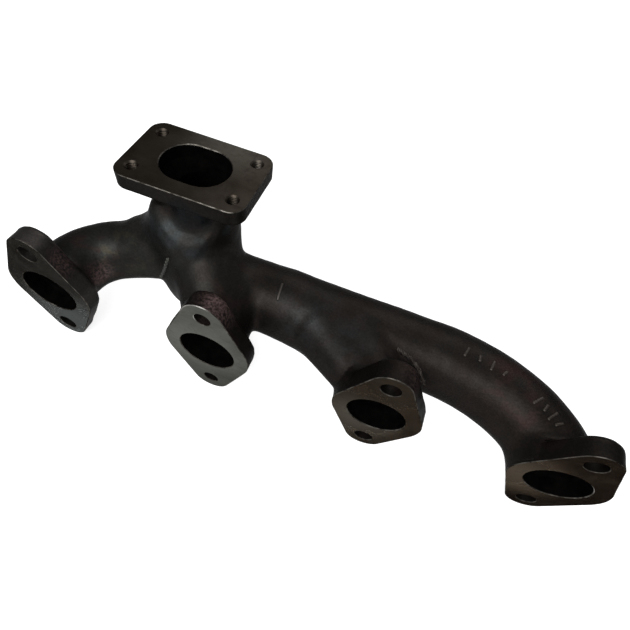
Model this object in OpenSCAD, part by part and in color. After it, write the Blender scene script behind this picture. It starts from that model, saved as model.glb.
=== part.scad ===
// Four-port turbo exhaust manifold, one iron casting shown as its named regions.
// X runs along the log from port 1 to port 4, Y from the cylinder-head face into
// the casting, Z up to the turbo flange. Origin: centre of port 1 on the head face.
// Lengths are in millimetres.

/* [Head side] */
// Distance between neighbouring ports
port_pitch = 120; // [100:1:140]
// Diameter of each port in its flange
port_d = 39; // [30:0.5:45]
// Thickness of each port flange
flange_t = 14; // [10:0.5:20]
// Radius of the flange outline round the port
flange_r = 30.5; // [26:0.5:36]
// Radius of the flange ends round the bolt holes
flange_end_r = 14; // [11:0.5:16]
// Distance between the two bolt holes of one port
bolt_pitch = 78; // [70:0.5:86]
// Diameter of the bolt holes at port 2, which locates the casting on M10 studs
locate_d = 11; // [10:0.5:12]
// Diameter of the other bolt holes, with room for the casting to grow when hot
bolt_d = 13; // [10:0.5:14]

/* [Tubes] */
// Distance of the log axis from the head face
log_y = 58; // [50:1:70]
// Outer radius of the log
log_r = 24.5; // [20:0.5:28]
// Outer radius of the end runners at their middle
run_r = 22.5; // [20:0.5:26]
// Wall of the casting
wall = 4.8; // [3.5:0.1:6]

/* [Turbo side] */
// Distance of the turbo flange from port 1 along the log
turbo_x = 84.5; // [60:0.5:110]
// Distance of the turbo port from the head face
turbo_y = 70.5; // [55:0.5:100]
// Height of the turbo face over the port centres
turbo_z = 90; // [70:0.5:110]
// Thickness of the turbo flange
turbo_t = 11; // [8:0.5:16]
// Length of the turbo flange
turbo_l = 84.5; // [76:0.5:100]
// Width of the turbo flange
turbo_w = 57.5; // [50:0.5:70]
// Corner radius of the turbo flange
turbo_corner = 9.5; // [5:0.5:12]
// Stud hole spacing along the flange
stud_l = 65; // [58:0.5:80]
// Stud hole spacing across the flange
stud_w = 35.5; // [30:0.5:46]
// Drilled diameter of the tapped stud holes, M8 thread
stud_d = 6.8; // [5:0.1:9]
// Half length of the oval turbo port
oval_a = 22.3; // [18:0.1:28]
// Half width of the oval turbo port
oval_b = 17.1; // [14:0.1:22]

/* [Hidden] */
slab = 0.6;                       // thin slab at each end of a hull
fn_tube = 30;
steps = 8;
iron = [0.24, 0.235, 0.23];
machined = [0.5, 0.49, 0.47];
log_end = 2.2 * port_pitch;       // where the log starts to bend to port 4
seam_1 = 46;                      // runner 1 ends, collector begins
seam_2 = 33;                      // depth of the seam behind runners 2 and 3
seam_c = 122;                     // collector ends, log begins
seam_l = 172;                     // log begins to take runner 3
seam_3 = 160;                     // ends of runners 2 and 3 on the log
seam_4 = 262;                     // log ends, runner 4 begins
neck_z = 50;                      // underside of the neck
neck_a = oval_a + 4.7;            // half length of the neck outside
neck_b = oval_b + 4.7;            // half width of the neck outside
neck_top = turbo_z - turbo_t;
mark_h = 0.9;                     // height of the raised marks

// ---- helpers -------------------------------------------------------------
function mix(a, b, t) = a * (1 - t) + b * t;
// point of a cubic curve through four control points [x, y, z, r]
function bez(c, t) = mix(mix(mix(c[0], c[1], t), mix(c[1], c[2], t), t),
    mix(mix(c[1], c[2], t), mix(c[2], c[3], t), t), t);
function way(c, t) = let (a = bez(c, max(t - 0.01, 0)), b = bez(c, min(t + 0.01, 1)),
    d = [b[0] - a[0], b[1] - a[1], b[2] - a[2]]) d / norm(d);

module disc(c, t, cut) {
    p = bez(c, t);
    d = way(c, t);
    translate([p[0], p[1], p[2]]) rotate([0, acos(d[2]), atan2(d[1], d[0])])
        cylinder(r = p[3] - cut, h = slab, center = true, $fn = fn_tube);
}

// ring of points round section p = [x, y, z, r], square to direction d, turned a little
// where the tube is straight so that its facets never lie flat on one another
function ring(p, d, cut, turn = 0) = let (n = norm([d[0], d[1]]), u = [-d[1] / n, d[0] / n, 0],
    v = cross(d, u)) [for (k = [0 : fn_tube - 1]) let (a = 360 * (k + 0.5) / fn_tube + turn)
        [p[0], p[1], p[2]] + (p[3] - cut) * (cos(a) * u + sin(a) * v)];

// closed tube through a list of rings
module skin(rings) {
    n = fn_tube;
    m = len(rings) - 1;
    polyhedron(points = [for (r = rings, q = r) q], faces = concat(
        [[for (k = [0 : n - 1]) k]],
        [for (i = [0 : m - 1], k = [0 : n - 1]) [i * n + k, (i + 1) * n + k, (i + 1) * n + (k + 1) % n]],
        [for (i = [0 : m - 1], k = [0 : n - 1]) [i * n + k, (i + 1) * n + (k + 1) % n, i * n + (k + 1) % n]],
        [[for (k = [n - 1 : -1 : 0]) m * n + k]]), convexity = 6);
}

function rings_of(c, cut, n = steps) = [for (i = [0 : n]) ring(bez(c, i / n), way(c, i / n), cut)];

module bend(c, cut) { skin(rings_of(c, cut)); }

module oval(a, b, h) {
    for (s = [-1, 1]) translate([s * (a - b), 0, 0]) cylinder(r = b, h = h, $fn = 48);
    translate([b - a, -b, 0]) cube([2 * (a - b), 2 * b, h]);
}

// centre lines: [x, y, z, outer radius]
p4 = 3 * port_pitch;
line_1 = [[0, 4, 0, 23.5], [0, 52, 0, run_r], [24, log_y - 1, 0, run_r - 1.5],
    [88, log_y + 6, 16, run_r - 1]];
line_2 = [[port_pitch, 8, 0, 24], [port_pitch - 2, 34, 0, 24], [100, 48, 4, 25],
    [84, log_y, 10, 25]];
line_3 = [[2 * port_pitch, 2, 0, 23.5], [2 * port_pitch - 8, 32, 0, 23.5], [204, 46, 0, 22.5],
    [156, log_y, 0, 24]];
line_4 = [[log_end, log_y, 0, log_r], [log_end + 46, log_y, 0, 24.5], [p4 - 5, 38, 0, 24],
    [p4, 2, 0, 24]];
line_log = [[80, log_y, 0, log_r], [130, log_y, 0, log_r], [200, log_y, 0, log_r],
    [log_end, log_y, 0, log_r]];

// whole casting behind the flanges, grown or shrunk by cut
module body(cut) {
    bend(line_1, cut);
    bend(line_2, cut);
    bend(line_3, cut);
    skin(concat([for (t = [0, 0.31, 0.63]) ring(bez(line_log, t), [1, 0, 0], cut, 6 - 6.35 * t)],
        rings_of(line_4, cut, 9)));
    // column from the junction up to the turbo flange
    hull() {
        translate([turbo_x, turbo_y, neck_top - 12]) oval(neck_a - cut, neck_b - cut, slab);
        translate([86, 62, 0.3]) sphere(r = 25.6 - cut, $fn = fn_tube);
    }
    translate([turbo_x, turbo_y, neck_top - 12]) oval(neck_a - cut, neck_b - cut, 14 + cut);
    // sloping roofs from runners 1 and 2 up into the column
    roof(line_1, 0.66, 58, cut);
    roof(line_1, 0.5, 44, cut);
    roof(line_2, 0.45, 60, cut);
    roof(line_log, 0.22, 44, cut);
    // web between runner 2 and the log
    hull() {
        disc(line_2, 0.2, cut + 2);
        disc(line_log, 0.5, cut + 2);
    }
}

// blends a runner section at t into the column at height z
module roof(c, t, z, cut) {
    hull() {
        disc(c, t, cut + 0.7);
        translate([turbo_x, turbo_y - 4, z - cut]) oval(neck_a - 2.6 - cut, neck_b - 2.6 - cut, slab);
        translate([turbo_x, turbo_y - 8, 6]) oval(14 - cut, 12 - cut, slab);
    }
}

module hollow() {
    difference() {
        body(0);
        body(wall);
        flange_room();
        translate([-100, -50, -100]) cube([600, 51.5, 200]);
        translate([-100, -50, neck_top]) cube([600, 200, 50]);
    }
}

// space taken by the four port flanges
module flange_room() {
    for (i = [0 : 3]) translate([i * port_pitch, 0, 0]) flange_blank();
}

module flange_blank() {
    rotate([-90, 0, 0]) linear_extrude(flange_t) hull() {
        circle(r = flange_r, $fn = 72);
        for (s = [-1, 1]) translate([0, s * bolt_pitch / 2]) circle(r = flange_end_r, $fn = 48);
    }
}

module port_flange(i) {
    translate([i * port_pitch, 0, 0]) difference() {
        flange_blank();
        translate([0, -1, 0]) rotate([-90, 0, 0]) cylinder(d = port_d, h = flange_t + 2, $fn = 64);
        for (s = [-1, 1]) translate([0, -1, s * bolt_pitch / 2]) rotate([-90, 0, 0])
            cylinder(d = i == 1 ? locate_d : bolt_d, h = flange_t + 2, $fn = 32);
    }
}

// ---- nodes -----------------------------------------------------------------
module port_flange_1() { color(machined) port_flange(0); }
module port_flange_2() { color(machined) port_flange(1); }
module port_flange_3() { color(machined) port_flange(2); }
module port_flange_4() { color(machined) port_flange(3); }

module runner_1() {
    color(iron) intersection() {
        hollow();
        translate([-60, 0, -60]) cube([60 + seam_1, 120, 110]);
    }
}

module runner_2() {
    color(iron) intersection() {
        hollow();
        translate([seam_1, 0, -60]) cube([seam_3 - seam_1, seam_2, 110]);
    }
}

module runner_3() {
    color(iron) intersection() {
        hollow();
        translate([seam_3, 0, -60]) cube([seam_4 - seam_3, seam_2, 110]);
    }
}

module runner_4() {
    color(iron) intersection() {
        hollow();
        translate([seam_4, 0, -60]) cube([150, 120, 110]);
    }
}

module collector() {
    color(iron) intersection() {
        hollow();
        translate([seam_1, seam_2, -60]) cube([seam_c - seam_1, 100, 60 + neck_z]);
    }
}

module log_left() {
    color(iron) intersection() {
        hollow();
        translate([seam_c, seam_2, -60]) cube([seam_l - seam_c, 100, 110]);
    }
}

module log_right() {
    color(iron) intersection() {
        hollow();
        translate([seam_l, seam_2, -60]) cube([seam_4 - seam_l, 100, 110]);
    }
}

module turbo_neck() {
    color(iron) intersection() {
        hollow();
        translate([0, 0, neck_z]) cube([200, 150, neck_top - neck_z]);
    }
}

module turbo_flange() {
    color(machined) difference() {
        translate([turbo_x, turbo_y, neck_top]) difference() {
            linear_extrude(turbo_t) hull() for (sx = [-1, 1], sy = [-1, 1])
                translate([sx * (turbo_l / 2 - turbo_corner), sy * (turbo_w / 2 - turbo_corner)])
                    circle(r = turbo_corner, $fn = 32);
            translate([0, 0, -1]) oval(oval_a, oval_b, turbo_t + 2);
            for (sx = [-1, 1], sy = [-1, 1]) translate([sx * stud_l / 2, sy * stud_w / 2, -1])
                cylinder(d = stud_d, h = turbo_t + 2, $fn = 24);
        }
    }
}

// generic raised casting marks, plain bars that follow the tube under them
module bars(c, n, t0, step, lift, len) {
    color(iron) difference() {
        intersection() {
            for (i = [0 : n - 1]) {
                p = bez(c, t0 + i * step);
                d = way(c, t0 + i * step);
                translate([p[0], p[1], p[2]]) rotate([0, 0, atan2(d[1], d[0])])
                    rotate([lift, 0, 0]) translate([0, 0, 24])
                        cube([2.2, len - 3 * (i % 2), 14], center = true);
            }
            body(-mark_h);
        }
        body(0);
    }
}

module mark_log() { bars(line_log, 1, 0.42, 1, 19, 13); }
module mark_inner() { bars(line_4, 4, 0.14, 0.07, 5, 8); }
module mark_outer() { bars(line_4, 4, 0.56, 0.055, 5, 9); }

port_flange_1();
port_flange_2();
port_flange_3();
port_flange_4();
runner_1();
runner_2();
runner_3();
runner_4();
collector();
log_left();
log_right();
turbo_neck();
turbo_flange();
mark_log();
mark_inner();
mark_outer();
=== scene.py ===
"""A cast-iron exhaust manifold with four ports, one log and a turbocharger flange.

The casting's skin is one signed distance (round tubes on curved centre lines, an obround neck,
fillets, a wall). It is meshed here, then cut at the CAD's seams into closed pieces. The machined
flanges are built ring by ring. Lengths are in millimetres until a mesh is made.
"""

import math

import bmesh
import bpy
import numpy as np
from mathutils import Matrix, Vector


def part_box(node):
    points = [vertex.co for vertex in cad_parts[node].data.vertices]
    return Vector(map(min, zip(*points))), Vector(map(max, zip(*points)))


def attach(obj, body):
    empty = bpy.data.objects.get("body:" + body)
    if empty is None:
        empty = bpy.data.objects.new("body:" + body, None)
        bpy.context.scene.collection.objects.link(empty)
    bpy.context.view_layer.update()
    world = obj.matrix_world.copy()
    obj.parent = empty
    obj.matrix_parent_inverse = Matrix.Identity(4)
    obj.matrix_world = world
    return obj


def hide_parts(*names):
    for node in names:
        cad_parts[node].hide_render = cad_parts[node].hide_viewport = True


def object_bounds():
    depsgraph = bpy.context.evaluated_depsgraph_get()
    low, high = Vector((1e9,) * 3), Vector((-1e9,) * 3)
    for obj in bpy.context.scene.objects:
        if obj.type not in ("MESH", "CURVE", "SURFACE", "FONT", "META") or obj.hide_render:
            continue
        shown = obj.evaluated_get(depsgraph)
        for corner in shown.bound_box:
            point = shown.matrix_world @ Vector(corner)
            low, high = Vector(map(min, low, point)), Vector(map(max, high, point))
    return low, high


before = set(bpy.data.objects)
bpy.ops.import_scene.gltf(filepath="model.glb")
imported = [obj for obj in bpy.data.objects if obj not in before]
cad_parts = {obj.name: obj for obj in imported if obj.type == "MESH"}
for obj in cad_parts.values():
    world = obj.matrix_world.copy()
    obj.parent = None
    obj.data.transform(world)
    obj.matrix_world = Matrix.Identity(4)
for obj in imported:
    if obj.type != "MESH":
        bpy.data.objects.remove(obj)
cad_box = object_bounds()

MM = 0.001
F32 = np.float32


def corners(node):
    low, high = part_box(node)
    return np.array(low) / MM, np.array(high) / MM


# ---------------------------------------------------------------- sizes
# read from the CAD model: port places, port flange thickness and half width, turbo flange
port_boxes = [corners("port_flange_%d" % (i + 1)) for i in range(4)]
PORT_X = [float(lo[0] + hi[0]) / 2 for lo, hi in port_boxes]
PITCH = PORT_X[1] - PORT_X[0]
FL_T = float(port_boxes[0][1][1])
FL_R = float(port_boxes[0][1][0] - port_boxes[0][0][0]) / 2
turbo_low, turbo_high = corners("turbo_flange")
TX, TY = (float(turbo_low[i] + turbo_high[i]) / 2 for i in (0, 1))
TZ, TT = float(turbo_high[2]), float(turbo_high[2] - turbo_low[2])

# as in the CAD: flange ends and the studs' distance from the port, port and stud hole radii
FL_E, FL_B = 14.0, 39.0
PORT_R, BOLT_R, LOCATE_R = 19.5, 6.5, 5.5
LOCATING_PORT, NARROW_BACK_PORT = 1, 2

# half axes of the oval port, its studs from its middle, their tapping radius
OV_A, OV_B = 22.3, 17.1
STUD_X, STUD_Y, STUD_R = 32.5, 17.75, 3.4

# the log: how far behind the head face, radius, end, and the wall of the whole casting
LOG_Y, LOG_R, WALL = 58.0, 24.5, 4.8
LOG_END = 2.2 * PITCH

# planes where the CAD divides the casting: x for 1, 3, 4, C and L, y for 2, z for the neck
SEAM_1, SEAM_2, SEAM_3, SEAM_4 = 46.0, 33.0, 160.0, 262.0
SEAM_C, SEAM_L, NECK_Z = 122.0, 172.0, 50.0

# centre lines of the passages: control points x, y, z and outer radius
LINE_1 = [[0, 4, 0, 23.5], [0, 52, 0, 22.5], [24, LOG_Y - 1, 0, 20.5], [88, LOG_Y + 6, 16, 21]]
LINE_2 = [[PITCH, 4, 0, 23.5], [PITCH - 2, 30, 0, 24.5], [104, 46, 14, 24.5], [86, 60, 30, 23]]
LINE_3 = [[2 * PITCH, 2, 0, 23.5], [2 * PITCH - 8, 32, 0, 23.5],
          [204, 46, 0, 22.5], [156, LOG_Y, 0, 24]]
LINE_4 = [[LOG_END, LOG_Y, 0, LOG_R], [LOG_END + 46, LOG_Y, 0, 24.5],
          [3 * PITCH - 5, 38, 0, 24], [3 * PITCH, 2, 0, 24]]
LINE_LOG = [[x, LOG_Y, 0, LOG_R] for x in (80, 130, 200, LOG_END)]

# the ledge round the foot of the neck: lowest at LEDGE_X, LEDGE_Z, rising to each side,
# as (greatest rise, how fast), and sloping back from the front; the scale evens out its fillet
LEDGE_X, LEDGE_Z = 89, 56
LEDGE_LEFT, LEDGE_RIGHT = (3.0, 0.02), (8.5, 0.022)
LEDGE_SLOPE, LEDGE_FRONT_Y, LEDGE_SCALE = 0.7, 48.7, 0.7

# the neck is the oval port and its wall, drawn in on the left by NECK_WAIST below the flange
NECK_WALL, NECK_WAIST = 4.7, 8

# widths of the fillets in the skin and in the passages
FILLET_RUNNER_1, FILLET_COLUMN, FILLET_NECK, FILLET_SADDLE = 8, 8, 4, 14
FILLET_RUNNER_2, FILLET_COLLECTOR, FILLET_RUNNER_3 = 13, 5, 7
FILLET_GUSSET, FILLET_PORT, FILLET_TURBO, FILLET_REACH = 2.5, 7, 4, 7.0
FILLET_PASSAGE, FILLET_OUTLET = 6, 8

# how far the skin stays inside a flange's own surface, and where it stops inside the flange
UNDER_EDGE, UNDER_BACK, BLOCK_ROUND = 0.6, 0.4, 5
LAP_EDGE, LAP_BACK, LAP_FACE, LAP_TURBO = 2.2, 2.5, 1.5, 2.0

# ---------------------------------------------------------------- the casting as a distance


def smin(a, b, k):
    """Smaller of two distances, with a fillet about k wide where they meet."""
    h = np.clip(1 - np.abs(a - b) / k, 0, None)
    return np.minimum(a, b) - h * h * k / 4


def smax(a, b, k):
    return -smin(-a, -b, k)


def bez(c, t):
    """Points and radii of a cubic curve."""
    c = np.asarray(c, dtype=F32)
    t = t[:, None]
    u = 1 - t
    return u**3 * c[0] + 3 * u * u * t * c[1] + 3 * u * t * t * c[2] + t**3 * c[3]


def bez_way(c, t):
    """Its direction, as long as its speed."""
    c = np.asarray(c, dtype=F32)[:, :3]
    t = t[:, None]
    u = 1 - t
    return 3 * (u * u * (c[1] - c[0]) + 2 * u * t * (c[2] - c[1]) + t * t * (c[3] - c[2]))


def tube(P, c, n=9, far=26.0):
    """Distance to a round tube along a cubic curve, its radius varying along it."""
    c = np.asarray(c, dtype=F32)
    pts = bez(c, np.linspace(0, 1, n + 1).astype(F32))
    reach = pts[:, 3].max() + far
    near = (P > pts[:, :3].min(0) - reach) & (P < pts[:, :3].max(0) + reach)
    near = np.all(near, axis=1)
    out = np.full(len(P), far, F32)
    Q = P[near]
    if not len(Q):
        return out
    best = np.full(len(Q), 1e9, F32)
    t = np.zeros(len(Q), F32)
    for i in range(n):
        a = pts[i, :3]
        d = pts[i + 1, :3] - a
        s = np.clip((Q - a) @ d / (d @ d), 0, 1)
        w = Q - a - s[:, None] * d
        e = np.einsum("ij,ij->i", w, w)
        m = e < best
        best[m] = e[m]
        t[m] = (i + s[m]) / n
    for _ in range(2):
        w = bez(c, t)[:, :3] - Q
        g = bez_way(c, t)
        t = np.clip(t - np.einsum("ij,ij->i", w, g) / np.einsum("ij,ij->i", g, g), 0, 1)
    q = bez(c, t)
    out[near] = np.minimum(np.linalg.norm(Q - q[:, :3], axis=1) - q[:, 3], far)
    return out


def stick(P, a, b, ra, rb):
    """Distance to a straight bar from a to b with round ends."""
    a, b = np.asarray(a, F32), np.asarray(b, F32)
    d = b - a
    s = np.clip((P - a) @ d / (d @ d), 0, 1)
    return np.linalg.norm(P - a - s[:, None] * d, axis=1) - (ra + (rb - ra) * s)


def oval(P, a, b):
    """Distance to an upright obround bar at the turbo port."""
    x = np.maximum(np.abs(P[:, 0] - TX) - (a - b), 0)
    return np.hypot(x, P[:, 1] - TY) - b


def outline(P, x0, cut=0.0):
    """Distance to a port flange's outline: a large circle with a smaller one above and below."""
    x, z = np.abs(P[:, 0] - x0), np.abs(P[:, 2])
    r1, r2 = FL_R - cut, FL_E - cut
    b = (r1 - r2) / FL_B
    a = np.sqrt(1 - b * b)
    k = -b * x + a * z
    side = np.where(k > a * FL_B, np.hypot(x, z - FL_B) - r2, a * x + b * z - r1)
    return np.where(k < 0, np.hypot(x, z) - r1, side)


def parts_of(P):
    """Distances to runners 1 to 3, the log with runner 4, the column under the neck, the neck."""
    d1, d2, d3 = tube(P, LINE_1), tube(P, LINE_2), tube(P, LINE_3)
    log = stick(P, (86, LOG_Y, 0), (LOG_END, LOG_Y, 0), LOG_R, LOG_R)
    log = np.minimum(log, tube(P, LINE_4))
    off = P[:, 0] - LEDGE_X
    top, rate = (np.where(off < 0, a, b) for a, b in zip(LEDGE_LEFT, LEDGE_RIGHT))
    rise = top * np.tanh(rate * off * off / top)
    ledge = P[:, 2] - LEDGE_Z - rise - LEDGE_SLOPE * np.clip(P[:, 1] - LEDGE_FRONT_Y, -30, 4)
    column = smax(stick(P, (83, 63, 14), (83, 63.5, 74), 26, 26.5), LEDGE_SCALE * ledge, 6)
    waisted = P.copy()
    below_flange = np.clip((81 - P[:, 2]) / 9, 0, 1)
    on_the_left = np.clip((TX + 6 - P[:, 0]) / 15, 0, 1)
    waisted[:, 0] -= NECK_WAIST * below_flange * on_the_left
    neck = oval(waisted, OV_A + NECK_WALL, OV_B + NECK_WALL)
    neck = np.maximum(neck, np.abs(P[:, 2] - 60) - 40)
    return d1, d2, d3, log, column, neck


def waves(P):
    """The unevenness of a sand casting, a few tenths of a millimetre."""
    x, y, z = P[:, 0], P[:, 1], P[:, 2]
    return (0.16 * np.sin(x * 0.13 + z * 0.11 + 1.0) * np.sin(y * 0.15 - z * 0.09)
            + 0.07 * np.sin(x * 0.41 + y * 0.33 + 2.0) * np.sin(z * 0.47 - x * 0.22 + 0.7))


def flange_block(P):
    """Distances to the port flanges, a little undersize, and to the part the skin leaves out."""
    block = np.full(len(P), 1e3, F32)
    room = np.full(len(P), 1e3, F32)
    for x0 in PORT_X:
        o = outline(P, x0, UNDER_EDGE)
        behind = P[:, 1] - FL_T
        block = np.minimum(block, smax(o, behind + UNDER_BACK, BLOCK_ROUND))
        room = np.minimum(room, np.maximum(o + LAP_EDGE, behind + LAP_BACK))
    return block, room


def outside(P, d=None):
    """Distance to the casting's outer skin behind the flanges, fillets included."""
    d1, d2, d3, log, column, neck = d or parts_of(P)
    gusset = stick(P, (186, 46, 3), (227, 15, 2), 21, 15)
    saddle = stick(P, (43, 61, 21), (71, 62, 50), 12, 12)
    out = smin(d1, log, FILLET_RUNNER_1)
    out = smin(out, column, FILLET_COLUMN)
    out = smin(out, smin(d2, log, FILLET_RUNNER_2), FILLET_COLLECTOR)
    out = smin(out, d3, FILLET_RUNNER_3)
    out = smin(out, neck, FILLET_NECK)
    out = smin(out, saddle, FILLET_SADDLE)
    webbed = smin(out, gusset, FILLET_GUSSET)
    near = out
    block, room = flange_block(P)
    out = smin(out, block, FILLET_PORT)
    plate = np.maximum(np.abs(P[:, 0] - TX) - 41, np.abs(P[:, 1] - TY) - 27.5)
    plate = np.maximum(plate, np.abs(P[:, 2] - TZ + 5) - 5.6)
    out = smin(out, plate, FILLET_TURBO)
    out = np.maximum(out, near - FILLET_REACH)
    out = np.minimum(out, webbed)
    return np.maximum(out, -room) + waves(P)


def iron(P):
    """Distance to the cast part behind the flanges with its hollow: negative in the iron."""
    d = parts_of(P)
    d1, d2, d3, log, column, neck = d
    ins = smin(smin(d1, log, FILLET_PASSAGE), smin(d2, d3, FILLET_PASSAGE), FILLET_PASSAGE)
    ins = smin(smin(ins, column, FILLET_OUTLET), neck, FILLET_PASSAGE) + WALL
    out = smax(outside(P, d), -ins, 1.0)
    out = np.maximum(out, LAP_FACE - P[:, 1])
    return np.maximum(out, P[:, 2] - (TZ - TT) - LAP_TURBO)


# ---------------------------------------------------------------- meshing


def evaluate(f, P, part=150000):
    return np.concatenate([f(P[i:i + part]) for i in range(0, len(P), part)])


def gradient(P, f, e=0.25):
    g = np.empty_like(P)
    for a in range(3):
        d = np.zeros(3, F32)
        d[a] = e
        g[:, a] = (evaluate(f, P + d) - evaluate(f, P - d)) / (2 * e)
    return g


def sample(f, low, high, h, k=3):
    """Distances on a grid, exact near the surface and coarse away from it."""
    n = np.ceil((high - low) / h).astype(int) + 1
    m = (n + k - 1) // k + 1
    axes = [low[i] + k * h * np.arange(m[i], dtype=F32) for i in range(3)]
    G = np.stack(np.meshgrid(*axes, indexing="ij"), -1).reshape(-1, 3)
    coarse = evaluate(f, G).reshape(m)
    idx = [np.minimum((np.arange(n[i]) + k // 2) // k, m[i] - 1) for i in range(3)]
    F = coarse[np.ix_(*idx)].copy()
    cell = np.argwhere(np.abs(F) < k * h * 1.15 + 1.2)
    F[tuple(cell.T)] = evaluate(f, (low + h * cell).astype(F32))
    return F


def surface_nets(F, origin, h):
    """Quads through a grid of distances, one vertex in each cell that the surface crosses."""
    s = F < 0
    shape = np.array(F.shape) - 1
    cnt = np.zeros(shape, F32)
    acc = np.zeros((3, *shape), F32)
    crossings = []
    for ax in range(3):
        lo, hi = [slice(None)] * 3, [slice(None)] * 3
        lo[ax], hi[ax] = slice(0, -1), slice(1, None)
        A, B = F[tuple(lo)], F[tuple(hi)]
        cross = s[tuple(lo)] ^ s[tuple(hi)]
        crossings.append(cross)
        t = np.where(cross, A / np.where(cross, A - B, 1), 0)
        o1, o2 = [a for a in range(3) if a != ax]
        for u in (0, 1):
            for v in (0, 1):
                sl = [slice(None)] * 3
                sl[o1] = slice(u, F.shape[o1] - 1 + u)
                sl[o2] = slice(v, F.shape[o2] - 1 + v)
                c = cross[tuple(sl)]
                cnt += c
                acc[ax] += t[tuple(sl)]
                acc[o1] += c * u
                acc[o2] += c * v
    cell = np.argwhere(cnt > 0)
    at = tuple(cell.T)
    idx = np.full(cnt.shape, -1, np.int64)
    idx[at] = np.arange(len(cell))
    V = origin + h * (cell + (acc[(slice(None), *at)] / cnt[at]).T)
    quads = []
    for ax in range(3):
        o1, o2 = [(1, 2), (2, 0), (0, 1)][ax]
        e = np.argwhere(crossings[ax])
        e = e[(e[:, o1] > 0) & (e[:, o2] > 0)]
        e = e[(e[:, o1] < F.shape[o1] - 1) & (e[:, o2] < F.shape[o2] - 1)]
        q = []
        for u, v in ((-1, -1), (0, -1), (0, 0), (-1, 0)):
            c = e.copy()
            c[:, o1] += u
            c[:, o2] += v
            q.append(idx[tuple(c.T)])
        q = np.stack(q, 1)
        flip = ~s[tuple(e.T)]
        q[flip] = q[flip][:, ::-1]
        quads.append(q)
    return V.astype(F32), np.concatenate(quads)


def polygonise(f, low, high, h):
    """A closed mesh of the surface where f is zero, its vertices moved on to the surface."""
    low, high = np.array(low, F32), np.array(high, F32)
    V, Q = surface_nets(sample(f, low, high, h), low, h)
    for _ in range(2):
        g = gradient(V, f)
        step = np.clip(evaluate(f, V) / np.maximum((g * g).sum(1), 0.25), -h, h)
        V = V - step[:, None] * g
    return V, Q


def mesh_of(name, V, faces):
    me = bpy.data.meshes.new(name)
    me.vertices.add(len(V))
    me.vertices.foreach_set("co", (np.asarray(V, np.float64) * MM).ravel())
    n = faces.shape[1]
    me.loops.add(len(faces) * n)
    me.loops.foreach_set("vertex_index", faces.ravel().astype(np.int32))
    me.polygons.add(len(faces))
    me.polygons.foreach_set("loop_start", np.arange(0, len(faces) * n, n, dtype=np.int32))
    me.update(calc_edges=True)
    return me


def add_object(name, mesh, materials):
    ob = bpy.data.objects.new(name, mesh)
    bpy.context.scene.collection.objects.link(ob)
    for m in materials:
        mesh.materials.append(m)
    return ob


# material indices of a piece of skin; CAP only marks the flat faces at a cut for a while
SKIN, HOLLOW, CAP = range(3)


def cut(bm, co, no):
    """The half of a closed mesh behind a plane, closed again."""
    co, no = Vector(co) * MM, Vector(no)
    bmesh.ops.bisect_plane(bm, geom=bm.verts[:] + bm.edges[:] + bm.faces[:], dist=1e-7,
                           plane_co=co, plane_no=no, clear_outer=True)
    rim = [e for e in bm.edges if e.is_boundary]
    if rim:
        new = bmesh.ops.triangle_fill(bm, edges=rim, use_beauty=True, normal=no)
        for f in new["geom"]:
            if isinstance(f, bmesh.types.BMFace):
                f.material_index = CAP
                f.smooth = False
    return bm


def halves(bm, co, no):
    other = bm.copy()
    return cut(bm, co, no), cut(other, co, [-v for v in no])


SLIVER = 200    # vertices


def settle(bm, neighbour=None):
    """Shells that a seam left loose: slivers go, and the rest joins the neighbour it touches."""
    seen, shells = set(), []
    for v in bm.verts:
        if v in seen:
            continue
        seen.add(v)
        shell = [v]
        for a in shell:
            for e in a.link_edges:
                b = e.other_vert(a)
                if b not in seen:
                    seen.add(b)
                    shell.append(b)
        shells.append(shell)
    for shell in sorted(shells, key=len)[:-1]:
        if neighbour and len(shell) > SLIVER:
            copy = {v: neighbour.verts.new(v.co) for v in shell}
            for f in bm.faces:
                if f.verts[0] in copy:
                    new = neighbour.faces.new([copy[v] for v in f.verts])
                    new.material_index = f.material_index
        bmesh.ops.delete(bm, geom=shell, context="VERTS")


def read(items, what, kind, width=1):
    """One value, or width values, of each of a mesh's items as an array."""
    values = np.empty(len(items) * width, kind)
    items.foreach_get(what, values)
    return values.reshape(-1, width) if width > 1 else values


def finish_skin(name, node, bm, materials, f):
    """Turns a cut piece of skin into an object whose shading runs on across the seams."""
    me = bpy.data.meshes.new(name)
    bm.to_mesh(me)
    bm.free()
    N = gradient(read(me.vertices, "co", F32, 3) / F32(MM), f)
    N /= np.maximum(np.linalg.norm(N, axis=1), 1e-6)[:, None]
    total = read(me.polygons, "loop_total", np.int32)
    flat = read(me.polygons, "normal", F32, 3)
    cap = read(me.polygons, "material_index", np.int32) == CAP
    at = read(me.polygons, "center", F32, 3) / F32(MM)
    # the passages, and what lies hidden in the flanges, are sooty, darkened past soot into painted
    # shade
    inner = evaluate(outside, at) < -1.5
    in_flange = np.min([outline(at, x0) for x0 in PORT_X], axis=0) < -1.5
    inner |= (at[:, 1] < FL_T - 0.25) & in_flange
    me.polygons.foreach_set("material_index",
                            np.where(inner & ~cap, HOLLOW, SKIN).astype(np.int32))
    per_loop = N[read(me.loops, "vertex_index", np.int32)]
    capped = np.repeat(cap, total)
    per_loop[capped] = np.repeat(flat, total, axis=0)[capped]
    me.polygons.foreach_set("use_smooth", np.ones(len(me.polygons), bool))
    me.normals_split_custom_set(per_loop)
    ob = add_object(name, me, materials)
    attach(ob, "root")
    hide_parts(node)


# ---------------------------------------------------------------- rings for the flanges

# material slots of a flange
SIDE, FACE, EDGE, DRILLED, SOOTY_SHADED = range(5)


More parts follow.
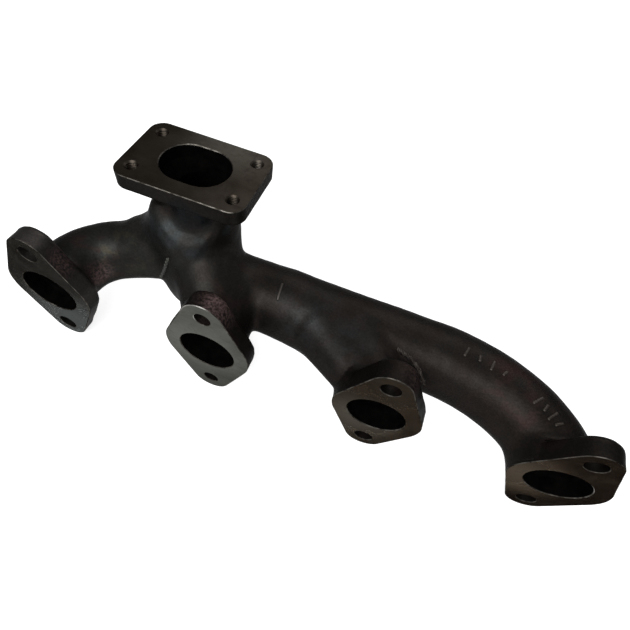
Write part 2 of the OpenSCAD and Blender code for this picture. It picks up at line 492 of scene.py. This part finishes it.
def around(circles, step):
    """Points, about step apart, and outward normals round the hull of circles (u, v, radius)."""
    c = np.array(circles, float)
    if len(c) == 1:
        n = max(24, int(round(2 * math.pi * c[0, 2] / step)))
        a = 2 * math.pi * np.arange(n) / n
        way = np.stack([np.cos(a), np.sin(a)], 1)
        return c[0, :2] + c[0, 2] * way, way
    ang = np.radians(np.arange(0, 360, 0.1))
    way = np.stack([np.cos(ang), np.sin(ang)], 1)
    which = np.argmax(way @ c[:, :2].T + c[:, 2], axis=1)
    first = int(np.nonzero(which != np.roll(which, 1))[0][0])
    order = np.roll(np.arange(len(ang)), -first)
    runs = np.split(order, np.nonzero(np.diff(which[order]))[0] + 1)
    P, N = [], []
    for k, run in enumerate(runs):
        cu, cv, r = c[which[run[0]]]
        a0 = ang[run[0]]
        a1 = a0 + math.radians(0.1) * (len(run) - 1)
        n = max(3, int(math.ceil(r * (a1 - a0) / step)))
        a = np.linspace(a0, a1, n + 1)
        way = np.stack([np.cos(a), np.sin(a)], 1)
        P.append(np.array([cu, cv]) + r * way)
        N.append(way)
        # then the straight side to the next circle
        nxt = runs[(k + 1) % len(runs)][0]
        du, dv, s = c[which[nxt]]
        b = np.array([du, dv]) + s * np.array([math.cos(ang[nxt]), math.sin(ang[nxt])])
        last = P[-1][-1]
        m = max(1, int(round(np.linalg.norm(b - last) / step)))
        t = np.arange(1, m)[:, None] / m
        P.append(last + t * (b - last))
        N.append(np.repeat(way[-1:], m - 1, axis=0))
    return np.concatenate(P), np.concatenate(N)


def unevenness(x, y, z):
    """Slow hollows and small lumps of a cast side, from -1.5 to 2.3."""
    return (np.sin(x * 0.11 + z * 0.17) + 0.5 * np.sin(z * 0.43 - x * 0.31 + y * 0.4)
            + 0.4 * np.sin(x * 1.1 + y * 0.9 + z * 0.9) + 0.4)


def plate(name, node, place, outer, outer_levels, holes, materials, rough=0.16):
    """A flange with holes, as rings joined by strips, and triangles on both faces.

    place turns (u, v, depth) arrays into x, y, z. A level is (depth, inset, share of unevenness,
    material of the strip after it). A hole is (points, normals, levels, thread), and a thread is
    (start, end, pitch, height) or None.
    """
    bm = bmesh.new()
    front, back = [], []

    def loft(P, N, levels, sign, thread=None):
        rings = []
        for depth, inset, uneven, _ in levels:
            deep = np.full(len(P), depth)
            off = np.full(len(P), inset, float)
            if uneven:
                fade = min(1.0, 0.25 + depth / 6)
                off += fade * uneven * rough * unevenness(*place(P[:, 0], P[:, 1], deep).T)
            if thread and thread[0] < depth < thread[1]:
                turn = np.arctan2(N[:, 1], N[:, 0]) / (2 * math.pi)
                off += thread[3] * np.abs(2 * ((turn + depth / thread[2]) % 1) - 1)
            q = place(P[:, 0] - sign * off * N[:, 0], P[:, 1] - sign * off * N[:, 1], deep)
            rings.append([bm.verts.new(Vector(v) * MM) for v in q.tolist()])
        for k in range(len(rings) - 1):
            a, b = rings[k], rings[k + 1]
            for i in range(len(a)):
                j = (i + 1) % len(a)
                bm.faces.new((a[i], a[j], b[j], b[i])).material_index = levels[k][3]
        front.append(rings[0])
        back.append(rings[-1])

    loft(*outer, outer_levels, 1)
    for P, N, levels, thread in holes:
        loft(P, N, levels, -1, thread)
    for side, index in ((front, FACE), (back, SIDE)):
        edges = []
        for ring in side:
            for i in range(len(ring)):
                edges.append(bm.edges.get((ring[i], ring[(i + 1) % len(ring)])))
        new = bmesh.ops.triangle_fill(bm, edges=edges, use_beauty=True)
        for f in new["geom"]:
            if isinstance(f, bmesh.types.BMFace):
                f.material_index = index
    bmesh.ops.recalc_face_normals(bm, faces=bm.faces[:])
    me = bpy.data.meshes.new(name)
    bm.to_mesh(me)
    bm.free()
    me.polygons.foreach_set("use_smooth", np.ones(len(me.polygons), bool))
    me.set_sharp_from_angle(angle=math.radians(28))
    ob = add_object(name, me, materials)
    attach(ob, "root")
    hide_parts(node)


# ---------------------------------------------------------------- materials


class Nodes:
    """Small helper for building a node tree in reading order."""

    def __init__(self, name):
        self.mat = bpy.data.materials.new(name)
        self.mat.use_nodes = True
        self.tree = self.mat.node_tree
        self.shader = self.tree.nodes["Principled BSDF"]
        self.coord = self.add("ShaderNodeTexCoord").outputs["Object"]

    def add(self, kind, **values):
        n = self.tree.nodes.new(kind)
        for k, v in values.items():
            setattr(n, k, v)
        return n

    def feed(self, sock, v):
        """A number, a colour or another node's output into a socket."""
        if isinstance(v, (int, float)):
            sock.default_value = v
        elif isinstance(v, tuple):
            sock.default_value = (*v, 1)
        else:
            self.tree.links.new(v, sock)

    def noise(self, size_mm, detail=3.0, rough=0.55, distort=0.0, stretch=(1, 1, 1), shift=0.0):
        m = self.add("ShaderNodeMapping")
        s = 1 / (size_mm * MM)
        m.inputs["Scale"].default_value = [s * v for v in stretch]
        m.inputs["Location"].default_value = (shift, shift * 1.7, shift * 0.6)
        self.feed(m.inputs["Vector"], self.coord)
        n = self.add("ShaderNodeTexNoise")
        n.inputs["Scale"].default_value = 1.0
        n.inputs["Detail"].default_value = detail
        n.inputs["Roughness"].default_value = rough
        n.inputs["Distortion"].default_value = distort
        self.feed(n.inputs["Vector"], m.outputs["Vector"])
        return n.outputs["Fac"]

    def ramp(self, fac, *stops):
        r = self.add("ShaderNodeValToRGB")
        e = r.color_ramp.elements
        while len(e) < len(stops):
            e.new(0.5)
        for el, (pos, col) in zip(e, stops):
            el.position = pos
            el.color = (*col, 1) if isinstance(col, (tuple, list)) else (col, col, col, 1)
        self.feed(r.inputs["Fac"], fac)
        return r.outputs["Color"]

    def mix(self, fac, a, b, mode="MIX"):
        m = self.add("ShaderNodeMix", data_type="RGBA", blend_type=mode)
        for i, v in ((0, fac), (6, a), (7, b)):
            self.feed(m.inputs[i], v)
        return m.outputs[2]

    def maths(self, op, a, b):
        m = self.add("ShaderNodeMath", operation=op)
        self.feed(m.inputs[0], a)
        self.feed(m.inputs[1], b)
        return m.outputs[0]

    def times(self, a, b):
        return self.maths("MULTIPLY", a, b)

    def plus(self, a, b):
        return self.maths("ADD", a, b)

    def blob(self, centre, radius, soft=0.6):
        """1 near a place on the object, fading to 0 at radius, in millimetres."""
        d = self.add("ShaderNodeVectorMath", operation="DISTANCE")
        self.feed(d.inputs[0], self.coord)
        d.inputs[1].default_value = [v * MM for v in centre]
        r = self.add("ShaderNodeMapRange", interpolation_type="SMOOTHSTEP")
        r.inputs["From Min"].default_value = radius * (1 - soft) * MM
        r.inputs["From Max"].default_value = radius * MM
        r.inputs["To Min"].default_value = 1.0
        r.inputs["To Max"].default_value = 0.0
        self.feed(r.inputs["Value"], d.outputs["Value"])
        return r.outputs["Result"]

    def blobs(self, *places):
        """The strongest of some blobs, each (centre, radius, softness) and perhaps a strength."""
        out = None
        for centre, radius, soft, *strength in places:
            b = self.blob(centre, radius, soft)
            if strength:
                b = self.times(b, strength[0])
            out = b if out is None else self.maths("MAXIMUM", out, b)
        return out

    def bump(self, height, strength, distance_mm):
        b = self.add("ShaderNodeBump")
        b.inputs["Strength"].default_value = strength
        b.inputs["Distance"].default_value = distance_mm * MM
        self.feed(b.inputs["Height"], height)
        return b.outputs["Normal"]

    def done(self, colour, rough, normal=None, metallic=0.0, specular=0.5, edge=1.0):
        i = self.shader.inputs
        self.feed(i["Base Color"], colour)
        self.feed(i["Roughness"], rough)
        if normal is not None:
            self.feed(i["Normal"], normal)
        i["Metallic"].default_value = metallic
        i["Specular Tint"].default_value = (edge, edge, edge, 1)
        i["Specular IOR Level"].default_value = specular
        return self.mat


def cast_iron(name, gain, grain_depth, rusty=1.0):
    """Dark oxidised cast skin: brown-black, faint rust, a blue-grey bloom that is partly a painted
    highlight, a painted shadow on the neck's front, sand grain.
    """
    n = Nodes(name)

    def g(*rgb):
        return tuple(v * gain for v in rgb)

    # brown-black, greyer round the collector
    base = n.ramp(n.noise(42, detail=3, shift=3.1),
                  (0.35, g(0.0098, 0.0083, 0.0072)), (0.65, g(0.0138, 0.0122, 0.011)))
    grey = n.ramp(n.noise(26, detail=3, shift=4.4),
                  (0.3, g(0.0145, 0.0149, 0.0136)), (0.7, g(0.0195, 0.0199, 0.0187)))
    colour = n.mix(n.blob((34, 36, 16), 120, 0.85), base, grey)

    # bloom on the ledge round the neck, and half as strong along the log's front: partly a
    # blue-grey tint, partly a painted highlight where those surfaces face the light
    bloom_and_highlight = n.blobs(((60, 50, 48), 19, 0.7), ((77, 39, 54), 14, 0.6),
                    ((94, 41, 50), 12, 0.6), ((110, 58, 57), 6, 0.6))
    log_front_highlight = n.blobs(((176, 40, 14), 36, 0.9), ((206, 36, 12), 32, 0.9))
    bloom_and_highlight = n.maths("MAXIMUM", bloom_and_highlight, n.times(log_front_highlight, 0.5))
    cloudy = n.ramp(n.noise(9, detail=4, shift=8.0), (0.38, 0.25), (0.62, 1.0))
    colour = n.mix(n.times(bloom_and_highlight, cloudy), colour, g(0.0225, 0.0256, 0.0272))
    # painted shadow: the neck's front under the turbo flange is darkened as if the flange shaded
    # it
    painted_flange_shadow = n.blob((90, 50, 73), 20, 0.5)
    colour = n.mix(painted_flange_shadow, colour, g(0.0085, 0.0092, 0.0098))

    # rust, more of it near the ports
    patch = n.noise(15, detail=5, rough=0.6, distort=0.6, shift=7.7)
    rust = n.ramp(patch, (0.46, 0.0), (0.66, 1.0))
    near = n.blobs(((14, 22, 20), 40, 0.8), ((128, 14, 36), 34, 0.7),
                   ((332, 48, 25), 52, 0.8), ((250, 20, 34), 30, 0.8))
    amount = n.times(rust, n.plus(n.times(near, 0.55 * rusty), 0.16 * rusty))
    colour = n.mix(amount, colour, g(0.026, 0.0145, 0.0135))

    # olive stains on runner 1, and a paler end of flange 1
    olive = n.ramp(n.noise(7, detail=5, shift=12.0), (0.5, 0.0), (0.62, 0.9))
    olive = n.times(olive, n.blob((38, 41, 18), 26, 0.8))
    colour = n.mix(olive, colour, g(0.03, 0.0265, 0.019))
    flange_1 = n.blobs(((0, 8, 50), 26, 0.8), ((26, 6, 14), 22, 0.9))
    colour = n.mix(n.times(flange_1, 0.8), colour, (0.042, 0.038, 0.036))

    # raw sandy patches behind ports 1, 2 and 3, and chips on the end of flange 4
    raw = n.blobs(((127, 9, 45), 19, 0.75), ((19, 8, 34), 15, 0.8),
                  ((25, 24, 6), 14, 0.8, 0.8), ((252, 10, 44), 18, 0.8, 0.4))
    sand = n.ramp(n.noise(1.5, detail=3, shift=2.2), (0.4, 0.1), (0.6, 1.0))
    colour = n.mix(n.times(raw, sand), colour, (0.085, 0.057, 0.056))
    flakes = n.ramp(n.noise(1.1, detail=5, shift=3.0), (0.5, 0.0), (0.62, 1.0))
    chips = n.times(n.blob((384, 4, 12), 14, 0.8), flakes)
    colour = n.mix(chips, colour, (0.13, 0.112, 0.108))

    # sand grain and pits
    grain = n.noise(1.3, detail=3, rough=0.6)
    pits = n.noise(4.2, detail=2, rough=0.5, shift=1.3)
    speck = n.ramp(grain, (0.36, (0.8, 0.8, 0.8)), (0.66, (1.16, 1.15, 1.14)))
    colour = n.mix(1.0, colour, speck, mode="MULTIPLY")
    rough = n.plus(n.times(patch, 0.22), 0.38)
    normal = n.bump(n.plus(n.times(grain, 0.5), n.times(pits, 0.8)), grain_depth, 0.3)
    return n.done(colour, rough, normal, metallic=0.8, specular=0.12, edge=0.38)


def soot_and_shade(name):
    """Inside of the passages: dead black, soot darkened further into painted shade."""
    n = Nodes(name)
    colour = n.ramp(n.noise(6, detail=4),
                    (0.3, (0.0008, 0.0007, 0.0007)), (0.75, (0.0025, 0.0022, 0.002)))
    normal = n.bump(n.noise(1.6, detail=3), 0.6, 0.4)
    return n.done(colour, 1.0, normal, specular=0.0)


def machined(name, dark, light, stain, reflection_place, across=(1, 1, 14)):
    """A milled or ground face that has darkened in store: fine cutter lines, stains, and a
    brighter place painted as a reflection, given as (centre, radius, colour)."""
    n = Nodes(name)
    colour = n.ramp(n.noise(22, detail=4, shift=5.0), (0.32, dark), (0.68, light))
    # painted reflection: one broad place on the flat face is painted brighter
    centre, radius, reflected_colour = reflection_place
    colour = n.mix(n.blob(centre, radius, 0.9), colour, reflected_colour)
    spots = n.noise(5.5, detail=5, rough=0.65, distort=0.5, shift=2.0)
    spots = n.ramp(spots, (0.5, 0.0), (0.72, 1.0))
    colour = n.mix(n.times(spots, 0.3), colour, stain)
    lines = n.noise(9, detail=2, stretch=across, shift=9.0)
    fine = n.noise(0.8, detail=2, shift=4.0)
    tone = n.ramp(lines, (0.3, (0.94, 0.94, 0.94)), (0.7, (1.06, 1.06, 1.06)))
    colour = n.mix(1.0, colour, tone, mode="MULTIPLY")
    rough = n.plus(n.times(spots, 0.16), 0.42)
    normal = n.bump(n.plus(n.times(lines, 0.6), n.times(fine, 0.3)), 0.18, 0.06)
    return n.done(colour, rough, normal, metallic=1.0, edge=0.16)


def bright_edge(name):
    """Chamfers and rims rubbed to bare iron, brightest at flange 2's top and flange 4's end."""
    n = Nodes(name)
    wear = n.ramp(n.noise(4, detail=4, shift=6.0),
                  (0.35, (0.016, 0.014, 0.012)), (0.68, (0.09, 0.084, 0.075)))
    chipped = n.blobs(((112, 0, 48), 15, 0.5), ((378, 0, 20), 16, 0.5))
    wear = n.mix(chipped, wear, (0.3, 0.29, 0.275))
    normal = n.bump(n.noise(1.2, detail=2), 0.2, 0.1)
    return n.done(wear, 0.4, normal, metallic=1.0, edge=0.3)


skin_mat = cast_iron("cast_skin", 1.02, 0.42)
side_mat = cast_iron("cast_flange_side", 0.85, 0.6)
# the raised marks and core seams are painted lighter: partly rubbed wear, partly a painted
# highlight on their raised edges
worn_and_highlit_mat = cast_iron("cast_skin_worn_and_highlit", 3.5, 0.8, rusty=0.1)
soot_and_shade_mat = soot_and_shade("passage_soot_and_shade")
edge_mat = bright_edge("bare_edge")
face_mats = [
    machined("machined_face_1", (0.03, 0.028, 0.025), (0.046, 0.045, 0.042),
             (0.018, 0.0155, 0.013), ((8, 0, -34), 56, (0.125, 0.132, 0.13))),
    machined("machined_face_2", (0.09, 0.092, 0.083), (0.125, 0.127, 0.117),
             (0.05, 0.045, 0.038), ((112, 0, 0), 46, (0.16, 0.163, 0.15))),
    machined("machined_face_3", (0.03, 0.0245, 0.0195), (0.044, 0.037, 0.03),
             (0.018, 0.013, 0.0105), ((228, 0, -14), 42, (0.1, 0.092, 0.079))),
    machined("machined_face_4", (0.022, 0.0175, 0.0138), (0.034, 0.0278, 0.0225),
             (0.014, 0.01, 0.008), ((338, 0, -6), 44, (0.105, 0.09, 0.073))),
]
turbo_mat = machined("machined_face_turbo", (0.022, 0.0185, 0.0145), (0.038, 0.0318, 0.0262),
                     (0.015, 0.011, 0.0085), ((92, 98, 90), 40, (0.07, 0.064, 0.055)),
                     across=(1, 14, 1))

# ---------------------------------------------------------------- the casting's skin
GRID = 1.25
V, Q = polygonise(iron, (-36, -2, -34), (394, 102, 86), GRID)
whole = mesh_of("whole", V, Q)
bm = bmesh.new()
bm.from_mesh(whole)
bpy.data.meshes.remove(whole)
runner_1, rest = halves(bm, (SEAM_1, 0, 0), (1, 0, 0))
rest, runner_4 = halves(rest, (SEAM_4, 0, 0), (1, 0, 0))
front, rest = halves(rest, (0, SEAM_2, 0), (0, 1, 0))
runner_2, runner_3 = halves(front, (SEAM_3, 0, 0), (1, 0, 0))
rest, log_right = halves(rest, (SEAM_L, 0, 0), (1, 0, 0))
rest, log_left = halves(rest, (SEAM_C, 0, 0), (1, 0, 0))
collector, neck = halves(rest, (0, 0, NECK_Z), (0, 0, 1))
settle(runner_3)
settle(runner_4, runner_3)
for node, piece in (("runner_1", runner_1), ("runner_2", runner_2), ("runner_3", runner_3),
                    ("runner_4", runner_4), ("collector", collector), ("log_left", log_left),
                    ("log_right", log_right), ("turbo_neck", neck)):
    finish_skin("skin_" + node, node, piece, [skin_mat, soot_and_shade_mat], iron)

# ---------------------------------------------------------------- flanges
# The visible outline is a little inside the CAD's, because its unevenness stands out again.
INSET = 0.35
CHAMFER, RIM_CHAMFER, HOLE_CHAMFER, BACK_CHAMFER = 0.4, 0.5, 0.35, 0.4
RING_STEP = 1.6


def rounded_back(thick, radius, uneven):
    """Levels of a flange's side: a chamfer at its face, a straight side, a rounded back."""
    straight = thick - radius - CHAMFER
    levels = [(0.0, CHAMFER, uneven, EDGE), (CHAMFER, 0.0, uneven, SIDE)]
    n = max(2, int(straight / RING_STEP))
    for i in range(1, n + 1):
        levels.append((CHAMFER + straight * i / n, 0.0, uneven, SIDE))
    for i in range(1, 6):
        a = math.pi / 2 * i / 5
        depth, inset = thick - radius + radius * math.sin(a), radius * (1 - math.cos(a))
        levels.append((depth, inset, uneven, SIDE))
    return levels


def bore(thick, chamfer, wall):
    """Levels of a plain hole."""
    return [(0.0, chamfer, 0, EDGE), (chamfer, 0.0, 0, wall),
            (thick - BACK_CHAMFER, 0.0, 0, wall), (thick, BACK_CHAMFER, 0, SIDE)]


def tapped(thick, sink=0.9, rows=48):
    """Levels of a tapped hole, close enough together for its thread."""
    levels = [(0.0, sink, 0, DRILLED), (sink, 0.0, 0, DRILLED)]
    for k in range(1, rows):
        levels.append((sink + (thick - 2 * sink) * k / rows, 0.0, 0, DRILLED))
    return levels + [(thick - sink, 0.0, 0, DRILLED), (thick, sink, 0, SIDE)]


port_circles = [(0, 0, FL_R - INSET), (0, FL_B, FL_E - INSET), (0, -FL_B, FL_E - INSET)]
for i, x0 in enumerate(PORT_X):
    def place(u, v, d, x0=x0):
        return np.stack([x0 + u, d, v], 1)

    hole_r = LOCATE_R if i == LOCATING_PORT else BOLT_R
    back_r = 2.0 if i == NARROW_BACK_PORT else 4.0
    # the port bore's wall is sooty, darkened into painted shade
    holes = [(*around([(0, 0, PORT_R)], 1.6), bore(FL_T, RIM_CHAMFER, SOOTY_SHADED), None)]
    for s in (-1, 1):
        ring = around([(0, s * FL_B, hole_r)], 0.9)
        holes.append((*ring, bore(FL_T, HOLE_CHAMFER, SIDE), None))
    plate("flange_port_%d" % (i + 1), "port_flange_%d" % (i + 1), place, around(port_circles, 1.5),
          rounded_back(FL_T, back_r, 1.0), holes,
          [side_mat, face_mats[i], edge_mat, face_mats[i], soot_and_shade_mat])


def place_turbo(u, v, d):
    return np.stack([TX + u, TY + v, TZ - d], 1)


TURBO_CORNER = 9.5
reach_x, reach_y = ((turbo_high - turbo_low)[:2] / 2 - INSET - TURBO_CORNER).tolist()
turbo_circles = [(a * reach_x, b * reach_y, TURBO_CORNER) for a in (-1, 1) for b in (-1, 1)]
oval_hole = around([(-(OV_A - OV_B), 0, OV_B), (OV_A - OV_B, 0, OV_B)], 1.6)
# the oval bore's wall is sooty, darkened into painted shade
holes = [(*oval_hole, bore(TT, RIM_CHAMFER, SOOTY_SHADED), None)]
M8_THREAD = (0.95, TT - 0.95, 1.25, 0.55)
for a in (-1, 1):
    for b in (-1, 1):
        ring = around([(a * STUD_X, b * STUD_Y, STUD_R)], 0.8)
        holes.append((*ring, tapped(TT), M8_THREAD))
plate("flange_turbo", "turbo_flange", place_turbo, around(turbo_circles, 1.5),
      rounded_back(TT, 1.6, 0.4), holes, [side_mat, turbo_mat, edge_mat, turbo_mat, soot_and_shade_mat])

# ---------------------------------------------------------------- raised marks and core seams
# A stroke: how far it stands out and reaches in, half its straight width, its corner radius.
MARK_H, MARK_ROOT, STROKE_HALF, STROKE_ROUND = 0.8, 0.6, 0.5, 0.6
STROKE_LEAN = (-0.18, 0.22, 0.05, -0.25)


def smooth_piece(name, V, Q, node=None):
    me = mesh_of(name, V, Q)
    me.polygons.foreach_set("use_smooth", np.ones(len(me.polygons), bool))
    ob = add_object(name, me, [worn_and_highlit_mat])
    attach(ob, "root")
    if node:
        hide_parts(node)


def mark(name, node, c, n, t0, step, lift, length):
    """Plain raised strokes that follow the skin under them, as one piece.

    There are n of them from t0 along the curve c, step apart, lift degrees up from its front.
    """
    verts, quads, base = [], [], 0
    for i in range(n):
        t = np.array([t0 + i * step], F32)
        p = bez(c, t)[0][:3]
        way = bez_way(c, t)[0]
        yaw = math.atan2(way[1], way[0])
        a = math.radians(lift)
        e1 = np.array([math.cos(yaw), math.sin(yaw), 0])
        e2 = np.array([-math.sin(yaw) * math.cos(a), math.cos(yaw) * math.cos(a), math.sin(a)])
        lean = STROKE_LEAN[i % 4] if n > 1 else 0.1
        e1, e2 = (e1 * math.cos(lean) + e2 * math.sin(lean),
                  e2 * math.cos(lean) - e1 * math.sin(lean))
        half = (length - 3 * (i % 2)) / 2
        e3 = np.cross(e1, e2)

        def bar(P, p=p, e1=e1, e2=e2, e3=e3, half=half):
            d = P - p.astype(F32)
            u = np.abs(d @ e1.astype(F32)) - STROKE_HALF
            v = np.abs(d @ e2.astype(F32)) - (half - STROKE_ROUND)
            flat = np.hypot(np.maximum(u, 0), np.maximum(v, 0))
            flat = flat + np.minimum(np.maximum(u, v), 0) - STROKE_ROUND
            skin = outside(P)
            top = smax(flat, skin - MARK_H, 1.0)
            return np.maximum(np.maximum(top, -(skin + MARK_ROOT)), -(d @ e3.astype(F32)))

        mid = p + e3 * LOG_R
        reach = np.array([half + 2.5] * 3)
        v, q = polygonise(bar, mid - reach, mid + reach, 0.35)
        verts.append(v)
        quads.append(q + base)
        base += len(v)
    smooth_piece(name, np.concatenate(verts), np.concatenate(quads), node)


def bead(name, line, radius):
    """Rough seam of metal left on the skin where two mould cores met."""
    pts = np.array(line, F32)
    for _ in range(3):
        slope = gradient(pts, outside)
        pts -= outside(pts)[:, None] * slope / np.maximum((slope**2).sum(1), 0.25)[:, None]

    def f(P):
        x, y, z = P[:, 0], P[:, 1], P[:, 2]
        d = np.full(len(P), 1e3, F32)
        for a, b in zip(pts, pts[1:]):
            d = np.minimum(d, stick(P, a, b, radius, radius))
        d = d + 0.4 * np.sin(x * 1.9 + y * 1.3) * np.sin(y * 2.3 - z * 1.7)
        d = d + 0.25 * np.sin(z * 3.1 + x * 2.3)
        return np.maximum(d, -(outside(P) + 0.9))

    smooth_piece(name, *polygonise(f, pts.min(0) - 3, pts.max(0) + 3, 0.5))


mark("raised_mark_log", "mark_log", LINE_LOG, 1, 0.42, 1, 19, 13)
mark("raised_marks_inner", "mark_inner", LINE_4, 4, 0.14, 0.07, 5, 8)
mark("raised_marks_outer", "mark_outer", LINE_4, 4, 0.56, 0.055, 5, 9)

bead("core_seam_1", ((76, 37, 34), (73, 38, 26), (69, 38.5, 16), (65, 40, 6)), 1.2)
bead("core_seam_3", ((240, 41, 20), (249, 39.6, 18), (255.5, 37, 15), (260.5, 34, 10),
                     (264.5, 33, 5)), 1.5)

# ---------------------------------------------------------------- floor, light, camera
FLOOR_GAP, FLOOR_HALF, FLOOR_GLOW = 0.0005, 4.0, 0.8

floor_z = float(cad_box[0][2]) - FLOOR_GAP
me = bpy.data.meshes.new("floor")
me.from_pydata([(-FLOOR_HALF, -FLOOR_HALF, floor_z), (FLOOR_HALF, -FLOOR_HALF, floor_z),
                (FLOOR_HALF, FLOOR_HALF, floor_z), (-FLOOR_HALF, FLOOR_HALF, floor_z)],
               [], [(0, 1, 2, 3)])
n = Nodes("floor_paper")
tone = n.ramp(n.noise(60, detail=2), (0.3, (0.42, 0.42, 0.42)), (0.7, (0.44, 0.44, 0.44)))
n.shader.inputs["Emission Color"].default_value = (1, 1, 1, 1)
n.shader.inputs["Emission Strength"].default_value = FLOOR_GLOW
floor = add_object("floor", me, [n.done(tone, 0.9, specular=0.1)])

world = bpy.data.worlds.new("studio")
world.use_nodes = True
world.node_tree.nodes["Background"].inputs["Color"].default_value = (1, 1, 1, 1)
world.node_tree.nodes["Background"].inputs["Strength"].default_value = 0.3
bpy.context.scene.world = world


def area(name, at, to, size, watts):
    """A rectangular white light at one place, aimed at another."""
    data = bpy.data.lights.new(name, "AREA")
    data.shape = "RECTANGLE"
    data.size, data.size_y = size
    data.energy = watts
    ob = bpy.data.objects.new(name, data)
    ob.location = at
    ob.rotation_euler = (Vector(to) - Vector(at)).to_track_quat("-Z", "Y").to_euler()
    bpy.context.scene.collection.objects.link(ob)


area("key", (0.04, -0.72, 0.92), (0.16, 0.03, 0), (1.0, 0.8), 21)
area("back", (0.3, 0.9, 0.9), (0.15, 0.05, 0), (1.2, 0.6), 7)
bpy.context.scene.view_settings.view_transform = "Standard"

# the photograph's camera, fitted to the ports and stud holes
cam = bpy.data.cameras.new("camera")
cam.lens = 25.89
cam.sensor_width = 36
cam.clip_start = 0.01
camera = bpy.data.objects.new("camera", cam)
right = Vector((0.93586074, 0.33138836, 0.1197766))
up = Vector((-0.34037782, 0.76225653, 0.55055238))
ahead = Vector((-0.09114615, 0.55600966, -0.8261632))
rot = Matrix((right, up, -ahead)).transposed()
camera.matrix_world = Matrix.Translation((0.20779, -0.12692, 0.27462)) @ rot.to_4x4()
bpy.context.scene.collection.objects.link(camera)
bpy.context.scene.camera = camera
